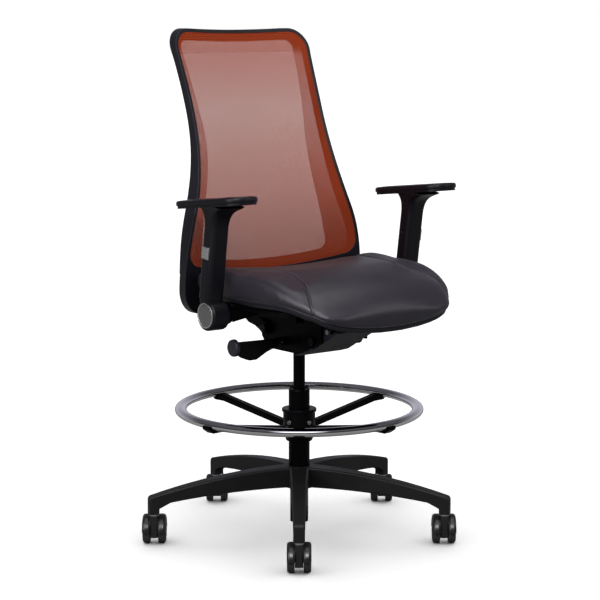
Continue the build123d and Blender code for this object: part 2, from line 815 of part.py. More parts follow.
def make_parts():
    pieces = {
        "star_base": star_base(),
        "caster_stems": group(around(caster_stem(), leg_count, front_leg_angle)),
        "column_tube": column_tube(),
        "column_bushing": column_bushing(),
        "column_end_plate": column_end_plate(),
        "piston_rod": piston_rod(),
        "thrust_bearing": thrust_bearing(),
        "pressure_tube": pressure_tube(),
        "foot_ring": foot_ring(),
        "ring_hub": drilled_hub(),
        "ring_spokes": group(around(ring_spoke(), spoke_count, spokes_start)),
        "ring_screws": group(around(ring_screw(), spoke_count, spokes_start) + hub_screws()),
        "tilt_housing": tilt_housing(),
        "housing_cover": housing_cover(),
        "cover_screws": group([cover_screw(), mirror(cover_screw(), about=Plane.YZ)]),
        "front_pivot_pin": pivot_pin(front_pivot, front_pin_radius, carrier_cheek + 7),
        "rear_pivot_pin": pivot_pin(rear_pivot, rear_pin_radius, back_arm + 9),
        "spring_cartridge": spring_cartridge(),
        "height_paddle": height_paddle(),
        "height_knob": height_knob(),
        "lever_pin": lever_pin(),
        "seat_carrier": seat_carrier(),
        "seat_pan": seat_pan(),
        "seat_cushion": seat_cushion(),
        "seat_screws": group(seat_screw(*spot) for spot in seat_screw_places()),
        "arm_pivot_bolts": group([arm_pivot_bolt(), mirror(arm_pivot_bolt(), about=Plane.YZ)]),
        "back_frame": back_frame(),
        "back_mesh": back_mesh(),
        "mesh_band": mesh_band(),
        "back_carrier": back_carrier(),
        "back_bolts": group(back_bolt(x, z) for x, z in back_bolt_places()),
    }
    arms = {
        "arm_bracket": arm_bracket(),
        "arm_post": arm_post(),
        "arm_hub_cap": arm_hub_cap(),
        "arm_sleeve": arm_sleeve(),
        "arm_button": arm_button(),
        "arm_pad_plate": arm_pad_plate(),
        "arm_pad": arm_pad(),
    }
    for name, shape in arms.items():
        pieces.update(right_and_left(name, shape))
    hood = caster_hood()
    wheel = caster_wheel()
    for number, place in enumerate(caster_places(), start=1):
        pieces[f"caster_hood_{number}"] = place * hood
        pieces[f"caster_wheel_{number}_a"] = place * wheel
        pieces[f"caster_wheel_{number}_b"] = place * mirror(wheel, about=Plane.XZ)
    return pieces


os.makedirs("parts", exist_ok=True)
for name, shape in make_parts().items():
    export_step(shape, f"parts/{name}.step")
    print(name, round(shape.volume / 1000, 1), "cm3")
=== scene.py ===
import bmesh
import bpy
import json
import math
from mathutils import Matrix, Vector
from mathutils.bvhtree import BVHTree
from mathutils.kdtree import KDTree


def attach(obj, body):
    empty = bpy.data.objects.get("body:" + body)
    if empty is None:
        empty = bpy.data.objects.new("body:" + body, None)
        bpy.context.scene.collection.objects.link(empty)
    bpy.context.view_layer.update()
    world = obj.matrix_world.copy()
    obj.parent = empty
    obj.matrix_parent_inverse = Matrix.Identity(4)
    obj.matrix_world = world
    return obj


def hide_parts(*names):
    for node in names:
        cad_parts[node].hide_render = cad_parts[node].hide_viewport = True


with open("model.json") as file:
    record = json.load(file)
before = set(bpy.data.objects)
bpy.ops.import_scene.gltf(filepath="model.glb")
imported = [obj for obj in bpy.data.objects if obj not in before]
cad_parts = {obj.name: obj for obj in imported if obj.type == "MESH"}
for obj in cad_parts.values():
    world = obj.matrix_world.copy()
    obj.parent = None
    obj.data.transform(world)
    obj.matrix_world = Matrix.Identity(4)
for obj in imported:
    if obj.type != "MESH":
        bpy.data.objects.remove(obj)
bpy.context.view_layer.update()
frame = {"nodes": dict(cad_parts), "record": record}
scene = bpy.context.scene
sides = {"right": -1, "left": 1}  # the sitter's right is -X
print("frame loaded with", len(frame["nodes"]), "nodes")


# camera and studio

photoView = {"lens": 114.58, "sensor": 36.0, "place": (-2.7338, -3.5023, 1.2061), "heading": 38.0,
             "dip": 8.262, "farthest": 80}


def makeCamera():
    data = bpy.data.cameras.new("photoCamera")
    data.lens = photoView["lens"]
    data.sensor_width = photoView["sensor"]
    data.clip_end = photoView["farthest"]
    camera = bpy.data.objects.new("photoCamera", data)
    camera.location = photoView["place"]
    camera.rotation_euler = (math.radians(90 - photoView["dip"]), 0, math.radians(-photoView["heading"]))
    scene.collection.objects.link(camera)
    scene.camera = camera


studio = {
    "floorSize": 60.0, "floorSeen": (1.95, 1.95, 1.95, 1), "floorMirrored": 0.45, "floorBounce": 0.05,
    "backdrop": 1.0, "roomLight": 0.65, "mirrorLow": 0.01, "mirrorHigh": 0.12, "mirrorWall": 0.46,
    "mirrorBox": 2.2, "mirrorTone": (0.98, 0.95, 1.1, 1), "boxFacing": (-0.396, -0.5065, 0.766),
    "wallFacing": (0.6157, 0.788, 0.0),  # the bright wall is behind the chair
    "wallFade": (0.2, 0.7), "wallHeight": (0.15, 0.6), "boxFade": (0.92, 0.98),
    "lamps": {  # place, aim, width, height, watts
        "overheadBox": ((0.2, -0.3, 3.3), (0, 0, 0.5), 2.2, 2.2, 34),
        "frontBox": ((1.9, -2.6, 2.2), (0, -0.1, 0.5), 1.4, 1.6, 22),
        "keyBox": ((-1.7, -2.5, 2.4), (0, 0, 0.4), 1.2, 0.9, 74),
        "sideBox": ((-3.0, -0.6, 1.9), (0, 0, 0.7), 2.0, 2.2, 76),
    },
}


def makeFloor():
    bm = bmesh.new()
    bmesh.ops.create_grid(bm, x_segments=1, y_segments=1, size=studio["floorSize"])
    floor = toObject(bm, "studioFloor")
    material, tree, shader = startMaterial("paleFloor")
    tree.nodes.remove(shader)
    path = tree.nodes.new("ShaderNodeLightPath")
    more = studio["floorMirrored"] - studio["floorBounce"]
    mirrored = sums(tree, "MULTIPLY", path.outputs["Is Glossy Ray"], more)
    dim = sums(tree, "ADD", mirrored, studio["floorBounce"])  # little light comes back up under the chair
    tone = mixed(tree, path.outputs["Is Camera Ray"], dim, studio["floorSeen"])
    paper = tree.nodes.new("ShaderNodeBsdfDiffuse")
    feed(tree, tone, paper.inputs["Color"])
    feed(tree, paper.outputs[0], tree.nodes["Material Output"].inputs["Surface"])
    floor.data.materials.append(material)
    return floor


def makeLamps(leftOut):
    # the floor and the chrome take only the light of the room
    roomOnly = bpy.data.collections.new("roomOnly")
    for number, piece in enumerate(leftOut):
        roomOnly.objects.link(piece)
        roomOnly.collection_objects[number].light_linking.link_state = "EXCLUDE"
    for name, (place, aim, width, height, watts) in studio["lamps"].items():
        data = bpy.data.lights.new(name, "AREA")
        data.shape = "RECTANGLE"
        data.size = width
        data.size_y = height
        data.energy = watts
        lamp = bpy.data.objects.new(name, data)
        lamp.location = place
        lamp.rotation_euler = (Vector(aim) - Vector(place)).to_track_quat("-Z", "Y").to_euler()
        lamp.light_linking.receiver_collection = roomOnly
        scene.collection.objects.link(lamp)


def makeRoom():
    world = bpy.data.worlds.new("studioRoom")
    scene.world = world
    world.use_nodes = True
    tree = world.node_tree
    tree.nodes.clear()
    path = tree.nodes.new("ShaderNodeLightPath")
    towards = tree.nodes.new("ShaderNodeTexCoord").outputs["Generated"]
    height = axesOf(tree, towards)["Z"]
    rise = spanned(tree, height, 0.0, 1.0, studio["mirrorLow"], studio["mirrorHigh"])
    toWall = facing(tree, towards, studio["wallFacing"])
    wall = spanned(tree, toWall, *studio["wallFade"], 0.0, studio["mirrorWall"])
    low = spanned(tree, height, *studio["wallHeight"], 1.0, 0.0)
    toBox = facing(tree, towards, studio["boxFacing"])
    box = spanned(tree, toBox, *studio["boxFade"], 0.0, studio["mirrorBox"])
    bright = sums(tree, "ADD", rise, box)
    glossy = sums(tree, "ADD", bright, sums(tree, "MULTIPLY", wall, low))  # what gloss mirrors
    white = (1, 1, 1, 1)
    layers = [("room", studio["roomLight"], white), ("mirrored", glossy, studio["mirrorTone"]),
              ("seen", studio["backdrop"], white)]
    shades = []
    for name, strength, tone in layers:
        shade = tree.nodes.new("ShaderNodeBackground")
        shade.name = name
        shade.inputs["Color"].default_value = tone
        feed(tree, strength, shade.inputs["Strength"])
        shades.append(shade.outputs[0])
    result = shades[0]
    for shade, ray in zip(shades[1:], ("Is Glossy Ray", "Is Camera Ray")):
        mix = tree.nodes.new("ShaderNodeMixShader")
        tree.links.new(path.outputs[ray], mix.inputs[0])
        tree.links.new(result, mix.inputs[1])
        tree.links.new(shade, mix.inputs[2])
        result = mix.outputs[0]
    output = tree.nodes.new("ShaderNodeOutputWorld")
    tree.links.new(result, output.inputs["Surface"])
    scene.view_settings.view_transform = "Standard"
    scene.view_settings.look = "None"


# small helpers

welds = {"cad": 0.00002, "turned": 0.00001}  # vertices this near are one


def showMesh(mesh, name):
    piece = bpy.data.objects.new(name, mesh)
    scene.collection.objects.link(piece)
    return piece


def toObject(bm, name):
    mesh = bpy.data.meshes.new(name)
    bm.to_mesh(mesh)
    bm.free()
    return showMesh(mesh, name)


def dress(piece, finish):
    piece.data.materials.append(materials[finish])
    piece.data.shade_smooth()


def settle(piece):
    # modifiers become the mesh itself
    bpy.context.view_layer.update()
    shown = piece.evaluated_get(bpy.context.evaluated_depsgraph_get())
    mesh = bpy.data.meshes.new_from_object(shown)
    piece.modifiers.clear()
    old = piece.data
    piece.data = mesh
    bpy.data.meshes.remove(old)
    mesh.name = piece.name


def cadCopy(node):
    bm = bmesh.new()
    bm.from_mesh(frame["nodes"][node].data)
    bmesh.ops.remove_doubles(bm, verts=bm.verts, dist=welds["cad"])
    return bm


def startCurve(name, kind, points, closed):
    data = bpy.data.curves.new(name, "CURVE")
    data.dimensions = "3D"
    spline = data.splines.new(kind)
    spline.points.add(len(points) - 1)
    for point, place in zip(spline.points, points):
        point.co = (*place, 1)
    spline.use_cyclic_u = closed
    return data, spline


def meshOfCurve(data):
    guide = bpy.data.objects.new("guide", data)
    scene.collection.objects.link(guide)
    bpy.context.view_layer.update()
    mesh = bpy.data.meshes.new_from_object(guide.evaluated_get(bpy.context.evaluated_depsgraph_get()))
    bpy.data.objects.remove(guide)
    bpy.data.curves.remove(data)
    return mesh


def smoothLine(points, closed=False):
    data, spline = startCurve("guide", "NURBS", points, closed)
    spline.use_endpoint_u = not closed
    spline.order_u = 4
    spline.resolution_u = 10
    mesh = meshOfCurve(data)
    line = [v.co.copy() for v in mesh.vertices]
    bpy.data.meshes.remove(mesh)
    return line


def evenLine(line, step):
    points, travelled, due = [line[0]], 0.0, step
    for a, b in zip(line, line[1:]):
        length = (b - a).length
        while length > 0 and travelled + length >= due:
            points.append(a.lerp(b, (due - travelled) / length))
            due += step
        travelled += length
    return points


def tubeAlong(line, radius, name, closed=False):
    data, _ = startCurve(name, "POLY", line, closed)
    data.bevel_depth = radius
    data.bevel_resolution = 2
    data.use_fill_caps = True
    mesh = meshOfCurve(data)
    mesh.name = name
    return showMesh(mesh, name)


# material building blocks

def feed(tree, value, socket):
    if isinstance(value, bpy.types.NodeSocket):
        tree.links.new(value, socket)
    else:
        socket.default_value = value


def startMaterial(name):
    material = bpy.data.materials.new(name)
    material.use_nodes = True
    tree = material.node_tree
    return material, tree, tree.nodes["Principled BSDF"]


def objectPlace(tree):
    return tree.nodes.new("ShaderNodeTexCoord").outputs["Object"]


def axesOf(tree, place):
    node = tree.nodes.new("ShaderNodeSeparateXYZ")
    feed(tree, place, node.inputs[0])
    return node.outputs


def facing(tree, first, second):
    node = tree.nodes.new("ShaderNodeVectorMath")
    node.operation = "DOT_PRODUCT"
    feed(tree, first, node.inputs[0])
    feed(tree, second, node.inputs[1])
    return node.outputs["Value"]


def sums(tree, operation, *values, clamp=False):
    node = tree.nodes.new("ShaderNodeMath")
    node.operation = operation
    node.use_clamp = clamp
    for socket, value in zip(node.inputs, values):
        feed(tree, value, socket)
    return node.outputs[0]


def noise(tree, place, scale, detail=2.0):
    node = tree.nodes.new("ShaderNodeTexNoise")
    feed(tree, place, node.inputs["Vector"])
    feed(tree, scale, node.inputs["Scale"])
    node.inputs["Detail"].default_value = detail
    return node.outputs[0]


def cells(tree, place, scale, feature="F1"):
    node = tree.nodes.new("ShaderNodeTexVoronoi")
    node.feature = feature
    feed(tree, place, node.inputs["Vector"])
    feed(tree, scale, node.inputs["Scale"])
    return node.outputs["Distance"]


def spanned(tree, value, low, high, toLow, toHigh):
    node = tree.nodes.new("ShaderNodeMapRange")
    for label, number in (("Value", value), ("From Min", low), ("From Max", high), ("To Min", toLow),
                          ("To Max", toHigh)):
        feed(tree, number, node.inputs[label])
    return node.outputs["Result"]


def mixed(tree, share, first, second):
    node = tree.nodes.new("ShaderNodeMix")
    node.data_type = "RGBA"
    feed(tree, share, node.inputs[0])
    feed(tree, first, node.inputs[6])
    feed(tree, second, node.inputs[7])
    return node.outputs[2]


def bumped(tree, height, strength, distance, normal=None):
    node = tree.nodes.new("ShaderNodeBump")
    node.inputs["Strength"].default_value = strength
    node.inputs["Distance"].default_value = distance
    feed(tree, height, node.inputs["Height"])
    if normal is not None:
        feed(tree, normal, node.inputs["Normal"])
    return node.outputs[0]


def startGroup(name, inputs, outputs):
    group = bpy.data.node_groups.new(name, "ShaderNodeTree")
    kinds = {"value": "NodeSocketFloat", "colour": "NodeSocketColor", "vector": "NodeSocketVector"}
    for label, kind in inputs:
        group.interface.new_socket(label, in_out="INPUT", socket_type=kinds[kind])
    for label, kind in outputs:
        group.interface.new_socket(label, in_out="OUTPUT", socket_type=kinds[kind])
    return group, group.nodes.new("NodeGroupInput").outputs, group.nodes.new("NodeGroupOutput").inputs


def useGroup(tree, group, **values):
    node = tree.nodes.new("ShaderNodeGroup")
    node.node_tree = group
    for label, value in values.items():
        feed(tree, value, node.inputs[label])
    return node.outputs


grainForm = {"detail": 3, "pits": 0.6, "patches": 7.0, "speck": (0.52, 0.72), "speckShare": 0.6,
             "patchShare": 0.4, "patchFade": (0.35, 0.65), "pitHeight": 0.5, "depth": 0.0004}


def makeGrain():
    group, given, put = startGroup("mouldGrain", [
        ("Place", "vector"), ("Scale", "value"), ("Dark", "colour"), ("Light", "colour"),
        ("Smooth", "value"), ("Coarse", "value")],
        [("Colour", "colour"), ("Roughness", "value"), ("Height", "value")])
    fine = noise(group, given["Place"], given["Scale"], grainForm["detail"])
    pits = cells(group, given["Place"], sums(group, "MULTIPLY", given["Scale"], grainForm["pits"]))
    wide = noise(group, given["Place"], grainForm["patches"], grainForm["detail"])
    speck = spanned(group, fine, *grainForm["speck"], 0.0, 1.0)
    specks = sums(group, "MULTIPLY", speck, grainForm["speckShare"])
    patches = sums(group, "MULTIPLY", wide, grainForm["patchShare"])
    tone = sums(group, "ADD", specks, patches, clamp=True)
    rough = spanned(group, wide, *grainForm["patchFade"], given["Smooth"], given["Coarse"])
    feed(group, mixed(group, tone, given["Dark"], given["Light"]), put["Colour"])
    feed(group, rough, put["Roughness"])
    pitted = sums(group, "MULTIPLY", pits, grainForm["pitHeight"])
    feed(group, sums(group, "ADD", fine, pitted), put["Height"])
    return group


def makeSoftEdge():
    group, given, put = startGroup("softEdge", [("Radius", "value"), ("Rub", "value")],
                                   [("Normal", "vector"), ("Worn", "value")])
    bevel = group.nodes.new("ShaderNodeBevel")
    bevel.samples = 4
    feed(group, given["Radius"], bevel.inputs["Radius"])
    plain = group.nodes.new("ShaderNodeNewGeometry")
    kept = facing(group, bevel.outputs[0], plain.outputs["Normal"])
    turn = sums(group, "SUBTRACT", 1.0, kept)
    feed(group, bevel.outputs[0], put["Normal"])
    feed(group, sums(group, "MULTIPLY", turn, given["Rub"], clamp=True), put["Worn"])
    return group


mouldGrain = makeGrain()
softEdge = makeSoftEdge()

# tones, roughness from and to, grain scale, bump, then worn edges and how far the finish is metal and shiny
finishes = {
    "baseNylon": {"dark": 0.0045, "light": 0.0105, "rough": (0.40, 0.54), "grain": 900, "bump": 0.35,
                  "worn": 0.06, "rub": 3.0, "edge": 0.0016, "metal": 0.0, "shine": 0.18},
    "casterNylon": {"dark": 0.007, "light": 0.013, "rough": (0.24, 0.32), "grain": 1400, "bump": 0.05,
                    "worn": 0.03, "rub": 2.0, "edge": 0.0012, "metal": 0.0, "shine": 0.4},
    "treadNylon": {"dark": 0.022, "light": 0.036, "rough": (0.36, 0.48), "grain": 1200, "bump": 0.12,
                   "worn": 0.05, "rub": 2.0, "edge": 0.001, "metal": 0.0, "shine": 0.25},
    "columnPaint": {"dark": 0.0006, "light": 0.0014, "rough": (0.26, 0.36), "grain": 1600, "bump": 0.1,
                    "worn": 0.012, "rub": 2.0, "edge": 0.001, "metal": 0.0, "shine": 0.05},
    "hubPlastic": {"dark": 0.0006, "light": 0.0014, "rough": (0.26, 0.38), "grain": 1300, "bump": 0.1,
                   "worn": 0.02, "rub": 2.0, "edge": 0.001, "metal": 0.0, "shine": 0.08},
    "coverGrey": {"dark": 0.017, "light": 0.027, "rough": (0.38, 0.48), "grain": 1300, "bump": 0.15,
                  "worn": 0.05, "rub": 2.0, "edge": 0.0015, "metal": 0.0, "shine": 0.18},
    "framePlastic": {"dark": 0.004, "light": 0.008, "rough": (0.32, 0.44), "grain": 1300, "bump": 0.15,
                     "worn": 0.03, "rub": 2.0, "edge": 0.002, "metal": 0.0, "shine": 0.3},
    "armPlastic": {"dark": 0.0025, "light": 0.005, "rough": (0.32, 0.44), "grain": 1300, "bump": 0.2,
                   "worn": 0.03, "rub": 2.0, "edge": 0.0014, "metal": 0.0, "shine": 0.18},
    "leverPlastic": {"dark": 0.001, "light": 0.0025, "rough": (0.30, 0.42), "grain": 1300, "bump": 0.12,
                     "worn": 0.02, "rub": 2.5, "edge": 0.0012, "metal": 0.0, "shine": 0.1},
    "capGrey": {"dark": 0.058, "light": 0.082, "rough": (0.38, 0.48), "grain": 1500, "bump": 0.15,
                "worn": 0.2, "rub": 2.0, "edge": 0.0008, "metal": 0.0, "shine": 0.35},
    "knobGrey": {"dark": 0.012, "light": 0.020, "rough": (0.34, 0.44), "grain": 1500, "bump": 0.12,
                 "worn": 0.08, "rub": 2.5, "edge": 0.0012, "metal": 0.0, "shine": 0.3},
    "padSkin": {"dark": 0.003, "light": 0.0055, "rough": (0.30, 0.42), "grain": 1500, "bump": 0.12,
                "worn": 0.02, "rub": 0.5, "edge": 0.001, "metal": 0.0, "shine": 0.2},
    "trayGrey": {"dark": 0.006, "light": 0.010, "rough": (0.38, 0.5), "grain": 1300, "bump": 0.12,
                 "worn": 0.05, "rub": 1.0, "edge": 0.001, "metal": 0.0, "shine": 0.25},
    "zincSteel": {"dark": 0.42, "light": 0.6, "rough": (0.22, 0.36), "grain": 1800, "bump": 0.08,
                  "worn": 0.7, "rub": 2.0, "edge": 0.0005, "metal": 1.0, "shine": 0.5},
    "springBlack": {"dark": 0.002, "light": 0.005, "rough": (0.34, 0.44), "grain": 1500, "bump": 0.1,
                    "worn": 0.03, "rub": 2.0, "edge": 0.001, "metal": 0.0, "shine": 0.15},
    "silverSatin": {"dark": 0.55, "light": 0.68, "rough": (0.22, 0.3), "grain": 1800, "bump": 0.06,
                    "worn": 0.85, "rub": 2.0, "edge": 0.0008, "metal": 1.0, "shine": 0.5},
    "ringChrome": {"dark": 0.78, "light": 0.84, "rough": (0.04, 0.08), "grain": 500, "bump": 0.0,
                   "worn": 0.85, "rub": 0.0, "edge": 0.0002, "metal": 1.0, "shine": 0.5},
}
# the upper blacks lean to violet; the base, the column, the metals and pale tones don't
violet = (1.0, 0.88, 1.4)
paleFrom = 0.05
neutral = {"baseNylon", "casterNylon", "treadNylon", "columnPaint", "zincSteel", "silverSatin", "ringChrome"}


def tinted(tone, name):
    shares = (1.0, 1.0, 1.0) if name in neutral or tone > paleFrom else violet
    return (*(tone * share for share in shares), 1)


def makeFinish(name):
    look = finishes[name]
    material, tree, shader = startMaterial(name)
    grain = useGroup(tree, mouldGrain, Place=objectPlace(tree), Scale=look["grain"],
                     Dark=tinted(look["dark"], name), Light=tinted(look["light"], name),
                     Smooth=look["rough"][0], Coarse=look["rough"][1])
    edge = useGroup(tree, softEdge, Radius=look["edge"], Rub=look["rub"])
    tone = mixed(tree, edge["Worn"], grain["Colour"], tinted(look["worn"], name))
    relief = bumped(tree, grain["Height"], look["bump"], grainForm["depth"], edge["Normal"])
    feed(tree, tone, shader.inputs["Base Color"])
    feed(tree, grain["Roughness"], shader.inputs["Roughness"])
    feed(tree, relief, shader.inputs["Normal"])
    shader.inputs["Metallic"].default_value = look["metal"]
    shader.inputs["Specular IOR Level"].default_value = look["shine"]
    return material


# the hub cap: a grey face inside a silver rim

capFace = {"centreY": -0.043, "centreZ": 0.557, "rimFrom": 0.0262, "rimTone": 0.6}


def makeCapFinish():
    material = makeFinish("capGrey")
    tree = material.node_tree
    shader = tree.nodes["Principled BSDF"]
    grey = shader.inputs["Base Color"].links[0].from_socket
    place = axesOf(tree, objectPlace(tree))
    y = sums(tree, "SUBTRACT", place["Y"], capFace["centreY"])
    z = sums(tree, "SUBTRACT", place["Z"], capFace["centreZ"])
    reach = sums(tree, "SQRT", sums(tree, "ADD", sums(tree, "MULTIPLY", y, y), sums(tree, "MULTIPLY", z, z)))
    rim = sums(tree, "GREATER_THAN", reach, capFace["rimFrom"])
    feed(tree, mixed(tree, rim, grey, tinted(capFace["rimTone"], "capGrey")), shader.inputs["Base Color"])
    feed(tree, rim, shader.inputs["Metallic"])
    return material


# leather of the seat

leatherLook = {
    "dark": (0.0074, 0.0058, 0.0100, 1), "light": (0.0124, 0.0098, 0.0168, 1), "rough": (0.40, 0.50),
    "pebbles": 620, "pebbleTone": (0.0, 0.7, 1.0, 0.6), "pebbleHeight": -0.6,
    "creases": 260, "creaseWidth": 0.12, "creaseHeight": 0.5,
    "patches": 5.0, "patchDetail": 3, "patchFade": (0.3, 0.7), "patchTone": (0.1, 1.0),
    "bump": 0.2, "depth": 0.0004, "sheen": 0.02, "shine": 0.46,
}


def makeLeather():
    look = leatherLook
    material, tree, shader = startMaterial("seatLeather")
    place = objectPlace(tree)
    pebble = cells(tree, place, look["pebbles"])
    crease = cells(tree, place, look["creases"], "DISTANCE_TO_EDGE")
    wide = noise(tree, place, look["patches"], look["patchDetail"])
    fold = spanned(tree, crease, 0.0, look["creaseWidth"], 0.0, 1.0)
    height = sums(tree, "ADD", sums(tree, "MULTIPLY", pebble, look["pebbleHeight"]),
                  sums(tree, "MULTIPLY", fold, look["creaseHeight"]))
    patch = spanned(tree, wide, *look["patchFade"], *look["patchTone"])
    tone = sums(tree, "MULTIPLY", patch, spanned(tree, pebble, *look["pebbleTone"]))
    feed(tree, mixed(tree, tone, look["dark"], look["light"]), shader.inputs["Base Color"])
    feed(tree, spanned(tree, wide, *look["patchFade"], *look["rough"]), shader.inputs["Roughness"])
    feed(tree, bumped(tree, height, look["bump"], look["depth"]), shader.inputs["Normal"])
    shader.inputs["Sheen Weight"].default_value = look["sheen"]
    shader.inputs["Specular IOR Level"].default_value = look["shine"]
    return material


# plain woven cloth under the seat, and the sewing thread

cloths = {
    "underCloth": {"dark": (0.004, 0.004, 0.004, 1), "light": (0.015, 0.015, 0.016, 1), "pitch": 0.002},
    "sewingThread": {"dark": (0.03, 0.028, 0.03, 1), "light": (0.12, 0.11, 0.12, 1), "pitch": 0.0008},
}
clothForm = {"fuzz": 900, "fuzzFade": (0.3, 0.7), "rough": (0.75, 0.9), "bump": 0.4, "depth": 0.0004}


def makeCloth(name):
    look = cloths[name]
    material, tree, shader = startMaterial(name)
    place = objectPlace(tree)
    axes = axesOf(tree, place)
    turn = 2 * math.pi / look["pitch"]
    across = sums(tree, "SINE", sums(tree, "MULTIPLY", axes["X"], turn))
    along = sums(tree, "SINE", sums(tree, "MULTIPLY", axes["Y"], turn))
    weave = spanned(tree, sums(tree, "MULTIPLY", across, along), -1.0, 1.0, 0.0, 1.0)
    fuzz = noise(tree, place, clothForm["fuzz"])
    tone = mixed(tree, sums(tree, "MULTIPLY", weave, fuzz), look["dark"], look["light"])
    feed(tree, tone, shader.inputs["Base Color"])
    feed(tree, spanned(tree, fuzz, *clothForm["fuzzFade"], *clothForm["rough"]), shader.inputs["Roughness"])
    feed(tree, bumped(tree, weave, clothForm["bump"], clothForm["depth"]), shader.inputs["Normal"])
    return material


# copper-coloured weave of the back: rows of small holes, each row half a step along

# each weave's last entry is a painted shade: how far its colour is darkened towards the bottom, between two
# heights
weaves = {  # open share by height, low and high, then closing towards the top edge
    "copperWeave": {"open": (0.66, 1.00, 0.36, 0.588), "top": (1.00, 1.12, 0.588, 0.48), "holes": True,
                    "dark": (0.115, 0.0150, 0.0055, 1), "light": (0.285, 0.0430, 0.0150, 1),
                    "warp": (0.210, 0.0340, 0.0125, 1), "paintedLowShade": (0.66, 0.95, 0.55, 0.0)},
    "copperFold": {"open": (0.62, 0.94, 0.02, 0.50), "top": (1.125, 1.15, 0.50, 0.0), "holes": False,
                   "dark": (0.040, 0.008, 0.004, 1), "light": (0.14, 0.032, 0.013, 1),
                   "warp": (0.10, 0.023, 0.010, 1), "paintedLowShade": (0.66, 0.95, 0.8, 0.0)},
}
weaveForm = {
    "across": 0.0015, "up": 0.0016, "holeEdge": (0.7, 1.3), "sheer": 0.3, "crown": (1.0, 3.5),
    "rows": 0.0062, "rowShade": (0.0, 0.6),  # faint level rows
    "twist": 700, "warpShare": (0.45, 0.65, 0.0, 0.6), "rough": (0.3, 0.7, 0.6, 0.8),
    "bump": 0.5, "depth": 0.0005,
}


def makeHoles():
    group, given, put = startGroup("openWeave", [("Place", "vector"), ("Hole", "value")],
                                   [("Solid", "value"), ("Crown", "value")])
    axes = axesOf(group, given["Place"])
    row = sums(group, "DIVIDE", axes["Z"], weaveForm["up"])
    shift = sums(group, "MULTIPLY", sums(group, "MODULO", sums(group, "FLOOR", row), 2.0), 0.5)
    column = sums(group, "ADD", sums(group, "DIVIDE", axes["X"], weaveForm["across"]), shift)
    reach = []
    for count in (column, row):
        offset = sums(group, "ABSOLUTE", sums(group, "SUBTRACT", sums(group, "FRACT", count), 0.5))
        share = sums(group, "DIVIDE", sums(group, "MULTIPLY", offset, 2.0), given["Hole"])
        reach.append(sums(group, "MULTIPLY", share, share))
    ring = sums(group, "ADD", *reach)  # below 1 inside a hole
    feed(group, spanned(group, ring, *weaveForm["holeEdge"], weaveForm["sheer"], 1.0), put["Solid"])
    feed(group, spanned(group, ring, *weaveForm["crown"], 0.0, 1.0), put["Crown"])
    return group


openWeave = makeHoles()


def makeWeave(name):
    look = weaves[name]
    material, tree, shader = startMaterial(name)
    place = objectPlace(tree)
    height = axesOf(tree, place)["Z"]
    size = sums(tree, "MINIMUM", spanned(tree, height, *look["open"]), spanned(tree, height, *look["top"]))
    weave = useGroup(tree, openWeave, Place=place, Hole=size)
    twist = noise(tree, place, weaveForm["twist"])
    wave = sums(tree, "SINE", sums(tree, "MULTIPLY", height, 2 * math.pi / weaveForm["rows"]))
    # painted shade: lower down, the weave is mixed towards its dark tone, on top of the faint level rows of
    # the knit
    shade = sums(tree, "MAXIMUM", spanned(tree, wave, -1.0, 1.0, *weaveForm["rowShade"]),
                 spanned(tree, height, *look["paintedLowShade"]))
    # painted shade and highlight: each thread is darker towards the hole edges and lighter on its crown
    thread = mixed(tree, weave["Crown"], look["dark"], look["light"])
    thread = mixed(tree, spanned(tree, twist, *weaveForm["warpShare"]), thread, look["warp"])
    feed(tree, mixed(tree, shade, thread, look["dark"]), shader.inputs["Base Color"])
    solid = weave["Solid"] if look["holes"] else sums(tree, "SUBTRACT", 1.0, size)  # the fold is evenly sheer
    feed(tree, solid, shader.inputs["Alpha"])
    feed(tree, spanned(tree, twist, *weaveForm["rough"]), shader.inputs["Roughness"])
    feed(tree, bumped(tree, weave["Crown"], weaveForm["bump"], weaveForm["depth"]), shader.inputs["Normal"])
    shader.inputs["Specular IOR Level"].default_value = 0.0
    return material


materials = {name: makeFinish(name) for name in finishes if name != "capGrey"}
materials["capGrey"] = makeCapFinish()
materials["seatLeather"] = makeLeather()
materials.update({name: makeCloth(name) for name in cloths})
materials.update({name: makeWeave(name) for name in weaves})
print("materials made:", len(materials))

# what each record slot shows as
slotFinish = {
    "base_nylon": "baseNylon", "caster_nylon": "casterNylon", "tread": "treadNylon",
    "column_black": "columnPaint", "hub_plastic": "hubPlastic", "cover_grey": "coverGrey",
    "steel": "zincSteel", "spring_steel": "springBlack", "ring_chrome": "ringChrome",
    "frame_plastic": "framePlastic", "arm_plastic": "armPlastic", "cap_grey": "capGrey",
    "button_silver": "silverSatin", "pad_soft": "padSkin", "lever_plastic": "leverPlastic",
    "seat_leather": "seatLeather", "copper_mesh": "copperWeave",
}
nodeFinish = {"height_knob": "knobGrey"}  # darker than the hub caps


def dressNodes():
    for part in frame["record"]["subparts"]:
        node = frame["nodes"][part["node"]]
        material = materials[nodeFinish.get(part["node"], slotFinish[part["material_slot"]])]
        for place in node.material_slots:
            place.material = material
        if not node.material_slots:
            node.data.materials.append(material)


# seat cushion: swollen by cloth simulation, then sewn

